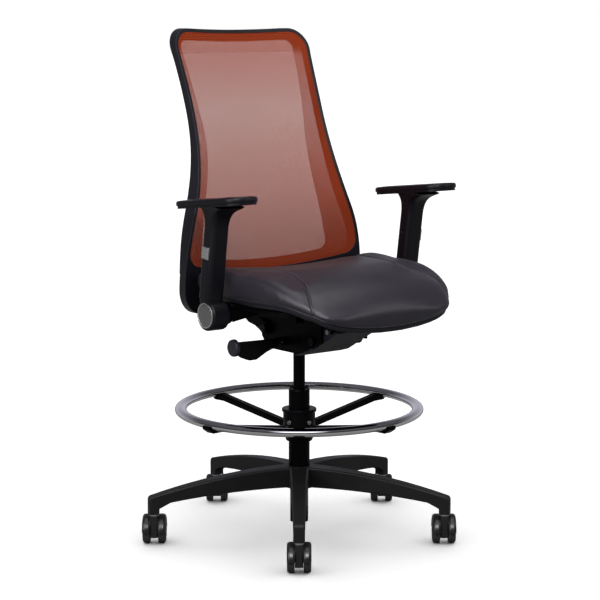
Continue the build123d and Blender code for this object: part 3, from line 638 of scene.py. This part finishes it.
seatCover = {
    "voxel": 0.006, "smoothing": 12, "easing": 8, "softness": 0.5, "shrink": 0.003, "pinBelow": 0.5785,
    "pressure": 2.5, "frames": 20, "quality": 6, "mass": 0.3, "stretch": 60, "bend": 20,
    "cap": 0.009, "proud": 0.003,  # how far the skin may move, and stand off the CAD form
    "seamStep": 0.0015, "groove": 0.0022, "grooveWidth": 0.0028, "dip": 0.0022, "dipWidth": 0.016,
    "dipReach": 4, "fineWithin": 0.010, "stitch": (0.0017, 0.00055, 0.0005), "stitchStep": 0.0048,
    "stitchRows": (0.0042, 0.0078), "weltStep": 0.004, "weltRadius": 0.0015,
    "rim": [(0.004, 0.001), (0.003, 0.004), (0.0045, 0.011), (0.008, 0.0135), (0.03, 0.0135)],
    "seam": [(-0.186, 0.094, 0.632), (-0.192, 0.05, 0.643), (-0.192, 0.0, 0.649), (-0.186, -0.06, 0.653),
             (-0.172, -0.103, 0.6535), (-0.157, -0.133, 0.6535), (-0.152, -0.1685, 0.6535),
             (-0.158, -0.199, 0.6506), (-0.167, -0.228, 0.645), (-0.176, -0.250, 0.638),
             (-0.186, -0.273, 0.627), (-0.194, -0.290, 0.619), (-0.202, -0.3035, 0.606),
             (-0.205, -0.309, 0.592), (-0.205, -0.309, 0.580), (-0.201, -0.302, 0.569)],
    "welt": [(0, 0.100, 0.603), (-0.12, 0.0995, 0.603), (-0.195, 0.098, 0.603), (-0.232, 0.085, 0.596),
             (-0.2435, 0.05, 0.589), (-0.2465, 0, 0.586), (-0.2475, -0.069, 0.5855),
             (-0.2475, -0.1476, 0.589), (-0.243, -0.217, 0.591), (-0.234, -0.256, 0.588),
             (-0.220, -0.281, 0.578), (-0.2095, -0.302, 0.568), (-0.196, -0.318, 0.559),
             (-0.17, -0.333, 0.5515), (-0.12, -0.340, 0.545), (-0.06, -0.3415, 0.541), (0, -0.342, 0.540)],
}


def surfaceOf(piece):
    bm = bmesh.new()
    bm.from_mesh(piece.data)
    tree = BVHTree.FromBMesh(bm)
    bm.free()
    return tree


def guideOf(points):
    guide = KDTree(len(points))
    for index, point in enumerate(points):
        guide.insert(point, index)
    guide.balance()
    return guide


def flipped(points):
    return [Vector((-p[0], p[1], p[2])) for p in points]


def ease(bm, rounds):
    for _ in range(rounds):
        bmesh.ops.smooth_vert(bm, verts=bm.verts, factor=seatCover["softness"], use_axis_x=True,
                              use_axis_y=True, use_axis_z=True)


def swellCushion():
    cad = cadCopy("seat_cushion")
    skin = BVHTree.FromBMesh(cad)
    piece = toObject(cad, "seatCushion")
    remesh = piece.modifiers.new("evenFaces", "REMESH")
    remesh.mode = "VOXEL"
    remesh.voxel_size = seatCover["voxel"]
    settle(piece)
    bm = bmesh.new()
    bm.from_mesh(piece.data)
    ease(bm, seatCover["smoothing"])
    bm.normal_update()
    pinned = [v.index for v in bm.verts if v.co.z < seatCover["pinBelow"]]
    held = set(pinned)
    for v in bm.verts:
        if v.index not in held:
            v.co -= v.normal * seatCover["shrink"]
    bm.to_mesh(piece.data)
    bm.free()
    start = [v.co.copy() for v in piece.data.vertices]
    piece.vertex_groups.new(name="heldToPan").add(pinned, 1.0, "REPLACE")
    cloth = piece.modifiers.new("swell", "CLOTH")
    cloth.settings.quality = seatCover["quality"]
    cloth.settings.mass = seatCover["mass"]
    cloth.settings.tension_stiffness = seatCover["stretch"]
    cloth.settings.compression_stiffness = seatCover["stretch"]
    cloth.settings.bending_stiffness = seatCover["bend"]
    cloth.settings.use_pressure = True
    cloth.settings.uniform_pressure_force = seatCover["pressure"]
    cloth.settings.effector_weights.gravity = 0
    cloth.settings.vertex_group_mass = "heldToPan"
    cloth.point_cache.frame_start = 1
    cloth.point_cache.frame_end = seatCover["frames"]
    for number in range(1, seatCover["frames"] + 1):
        scene.frame_set(number)
    settle(piece)
    scene.frame_set(1)
    for v, first in zip(piece.data.vertices, start):
        move = v.co - first
        if move.length > seatCover["cap"]:
            v.co = first + move * (seatCover["cap"] / move.length)
        near, normal, _, _ = skin.find_nearest(v.co)
        over = (v.co - near).dot(normal)
        if over > seatCover["proud"]:
            v.co -= normal * (over - seatCover["proud"])
    bm = bmesh.new()
    bm.from_mesh(piece.data)
    ease(bm, seatCover["easing"])
    bm.to_mesh(piece.data)
    bm.free()
    piece.modifiers.new("finer", "SUBSURF").levels = 1
    piece.modifiers["finer"].render_levels = 1
    settle(piece)
    return piece


def onSurface(line, surface):
    return [surface.find_nearest(p)[0] for p in line]


def depthAt(distance, depth, width):
    return depth * math.exp(-(distance / width) ** 2)


def sewCushion(piece):
    surface = surfaceOf(piece)
    half = evenLine(smoothLine([Vector(p) for p in seatCover["seam"]]), seatCover["seamStep"])
    seams = [onSurface(half, surface), onSurface(flipped(half), surface)]
    guide = guideOf(seams[0] + seams[1])
    bm = bmesh.new()
    bm.from_mesh(piece.data)
    near = {v for v in bm.verts if guide.find(v.co)[2] < seatCover["fineWithin"]}
    edges = [e for e in bm.edges if e.verts[0] in near and e.verts[1] in near]
    bmesh.ops.subdivide_edges(bm, edges=edges, cuts=1, use_grid_fill=True)
    bm.normal_update()
    moves = []
    for v in bm.verts:
        distance = guide.find(v.co)[2]
        if distance < seatCover["dipReach"] * seatCover["dipWidth"]:
            drop = depthAt(distance, seatCover["groove"], seatCover["grooveWidth"])
            drop += depthAt(distance, seatCover["dip"], seatCover["dipWidth"])
            moves.append((v, v.normal * drop))
    for v, drop in moves:
        v.co -= drop
    bm.to_mesh(piece.data)
    bm.free()
    return seams


def stitchSeams(piece, seams):
    surface = surfaceOf(piece)
    bm = bmesh.new()
    for line in seams:
        places = evenLine(line, seatCover["stitchStep"])
        for before, spot, after in zip(places, places[1:], places[2:]):
            along = (after - before).normalized()
            _, up, _, _ = surface.find_nearest(spot)
            across = along.cross(up).normalized()
            inward = -1 if (spot + across).x ** 2 > spot.x ** 2 else 1
            for row in seatCover["stitchRows"]:
                foot, up, _, _ = surface.find_nearest(spot + across * inward * row)
                side = up.cross(along).normalized()
                turn = Matrix((along, side, up)).transposed().to_4x4()
                size = Matrix.Diagonal((*seatCover["stitch"], 1))
                bmesh.ops.create_icosphere(bm, subdivisions=1, radius=1.0,
                                           matrix=Matrix.Translation(foot) @ turn @ size)
    thread = toObject(bm, "seatStitches")
    dress(thread, "sewingThread")
    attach(thread, "seat")


def trimCushion(line):
    # rim of the tray under the cushion, just inside the welt
    bm = bmesh.new()
    loops = []
    middle = sum(line, Vector()) / len(line)
    for inset, drop in seatCover["rim"]:
        loop = []
        for before, spot, after in zip(line[-1:] + line[:-1], line, line[1:] + line[:1]):
            along = (after - before).normalized()
            across = along.cross(Vector((0, 0, 1))).normalized()
            if (middle - spot).dot(across) < 0:
                across.negate()
            loop.append(bm.verts.new(spot + across * inset - Vector((0, 0, drop))))
        loops.append(loop)
    for upper, lower in zip(loops, loops[1:]):
        for k in range(len(line)):
            bm.faces.new((upper[k - 1], upper[k], lower[k], lower[k - 1]))
    bmesh.ops.recalc_face_normals(bm, faces=bm.faces[:])
    rim = toObject(bm, "seatTrayRim")
    dress(rim, "trayGrey")
    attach(rim, "seat")


def weltCushion(piece):
    surface = surfaceOf(piece)
    half = [Vector(p) for p in seatCover["welt"]]
    loop = half + flipped(half[1:-1])[::-1]
    line = onSurface(evenLine(smoothLine(loop, closed=True), seatCover["weltStep"]), surface)
    welt = tubeAlong(line, seatCover["weltRadius"], "seatWelt", closed=True)
    dress(welt, "seatLeather")
    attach(welt, "seat")
    trimCushion(line)
    dress(piece, "seatLeather")
    piece.data.materials.append(materials["underCloth"])
    guide = guideOf(line)
    for face in piece.data.polygons:
        face.material_index = 1 if face.center.z < guide.find(face.center)[0].z else 0


def makeSeat():
    piece = swellCushion()
    seams = sewCushion(piece)
    weltCushion(piece)
    stitchSeams(piece, seams)
    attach(piece, "seat")
    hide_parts("seat_cushion")
    print("seat sewn:", len(piece.data.polygons), "faces")


# back: the stretched weave and the folded band behind its edge

backSkins = {
    "backMesh": {"node": "back_mesh", "weave": "copperWeave", "flat": (0.50, 0.60), "area": 0.245},
    "meshBand": {"node": "mesh_band", "weave": "copperFold", "flat": (0.032, 2.0), "area": 0.058},
}
rearFacing = -0.3  # faces that look less forward than this are left out


def makeBackSkins():
    for name, skin in backSkins.items():
        bm = cadCopy(skin["node"])
        bm.normal_update()
        rear = [f for f in bm.faces if f.normal.y > rearFacing]
        bmesh.ops.delete(bm, geom=rear, context="FACES")
        piece = toObject(bm, name)
        dress(piece, skin["weave"])
        area = sum(f.area for f in piece.data.polygons)
        print(name, "area", round(area, 4), "faces", len(piece.data.polygons))
        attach(piece, "back")
        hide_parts(skin["node"])


# arm pads: moulded soft tops with a gentle crown

padForm = {
    "length": 0.240, "width": 0.088, "corner": 0.038, "segments": 72, "thick": 0.012, "topRound": 0.005,
    "topSteps": 6, "lowRound": 0.002, "lowSteps": 3, "level": 0.0001, "crown": 0.0012, "steps": 4,
    "insets": 0.008, "place": (0.292, -0.07816, 0.80401), "plate": 0.006, "tilt": -6.0,
}


def makePads():
    for side, sign in sides.items():
        bm = bmesh.new()
        bmesh.ops.create_circle(bm, segments=padForm["segments"], radius=padForm["corner"], cap_ends=True)
        for v in bm.verts:  # the circle parts into a rounded rectangle
            v.co.x += math.copysign(padForm["width"] / 2 - padForm["corner"], v.co.x)
            v.co.y += math.copysign(padForm["length"] / 2 - padForm["corner"], v.co.y)
        lower = bm.faces[:]
        raised = bmesh.ops.extrude_face_region(bm, geom=lower)["geom"]
        top = [g for g in raised if isinstance(g, bmesh.types.BMFace)][0]
        bmesh.ops.translate(bm, verts=top.verts[:], vec=(0, 0, padForm["thick"]))
        bmesh.ops.recalc_face_normals(bm, faces=bm.faces[:])
        lowEdges = [e for e in bm.edges if all(v.co.z < padForm["level"] for v in e.verts)]
        bmesh.ops.bevel(bm, geom=lowEdges, offset=padForm["lowRound"], segments=padForm["lowSteps"],
                        profile=0.5, affect="EDGES", material=-1)
        nearTop = padForm["thick"] - padForm["level"]
        topEdges = [e for e in bm.edges if all(v.co.z > nearTop for v in e.verts)]
        bmesh.ops.bevel(bm, geom=topEdges, offset=padForm["topRound"], segments=padForm["topSteps"],
                        profile=0.5, affect="EDGES", material=-1)
        crest = max(bm.faces, key=lambda f: f.calc_center_median().z + f.calc_area())
        for step in range(padForm["steps"]):
            bmesh.ops.inset_region(bm, faces=[crest], thickness=padForm["insets"], use_even_offset=True)
            rise = padForm["crown"] * (2 * (padForm["steps"] - step) - 1) / padForm["steps"] ** 2
            bmesh.ops.translate(bm, verts=crest.verts[:], vec=(0, 0, rise))
        x, y, z = padForm["place"]
        place = Matrix.Translation((sign * x, y, z)) @ Matrix.Rotation(math.radians(padForm["tilt"]), 4, "X")
        onPlate = Matrix.Translation((0, 0, padForm["plate"]))
        bmesh.ops.transform(bm, matrix=place @ onPlate, verts=bm.verts[:])
        pad = toObject(bm, f"armPad.{side}")
        dress(pad, "padSkin")
        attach(pad, f"sleeve_{side}")
        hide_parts(f"arm_pad_{side}")
    print("arm pads made")


# foot ring: the same bent oval tube, with a finer turn for clean reflections

ringForm = {"path": 0.2803, "height": 0.303, "halfWidth": 0.014, "halfHeight": 0.010, "end": 0.0075,
            "round": 48, "turn": 240}


def ringOval():
    side = ringForm["halfWidth"] - ringForm["end"]
    rise = ringForm["halfHeight"] - ringForm["end"]
    drop = (side ** 2 - rise ** 2) / (2 * rise)  # centre of the flatter arcs lies this far off
    radius = ringForm["halfHeight"] + drop
    slope = math.atan2(drop, side)
    points = []
    for k in range(ringForm["round"]):
        turn = 2 * math.pi * (k + 0.5) / ringForm["round"]
        x, z = math.cos(turn), math.sin(turn)
        if abs(math.atan2(abs(z), abs(x))) < slope:
            points.append((math.copysign(side, x) + ringForm["end"] * x, ringForm["end"] * z))
        else:
            points.append((radius * x, radius * z - math.copysign(drop, z)))
    return points


def makeRing():
    bm = bmesh.new()
    ring = [bm.verts.new((ringForm["path"] + x, 0, ringForm["height"] + z)) for x, z in ringOval()]
    outline = [bm.edges.new((ring[k - 1], ring[k])) for k in range(len(ring))]
    bmesh.ops.spin(bm, geom=ring + outline, cent=(0, 0, 0), axis=(0, 0, 1), angle=2 * math.pi,
                   steps=ringForm["turn"], use_merge=True)
    bmesh.ops.remove_doubles(bm, verts=bm.verts, dist=welds["turned"])
    bmesh.ops.recalc_face_normals(bm, faces=bm.faces[:])
    piece = toObject(bm, "footRing")
    dress(piece, "ringChrome")
    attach(piece, "foot_rest")
    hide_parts("foot_ring")
    print("foot ring turned:", len(piece.data.polygons), "faces")
    return piece


dressNodes()
makeCamera()
makeRoom()
makeLamps([makeFloor(), makeRing()])
makeSeat()
makeBackSkins()
makePads()
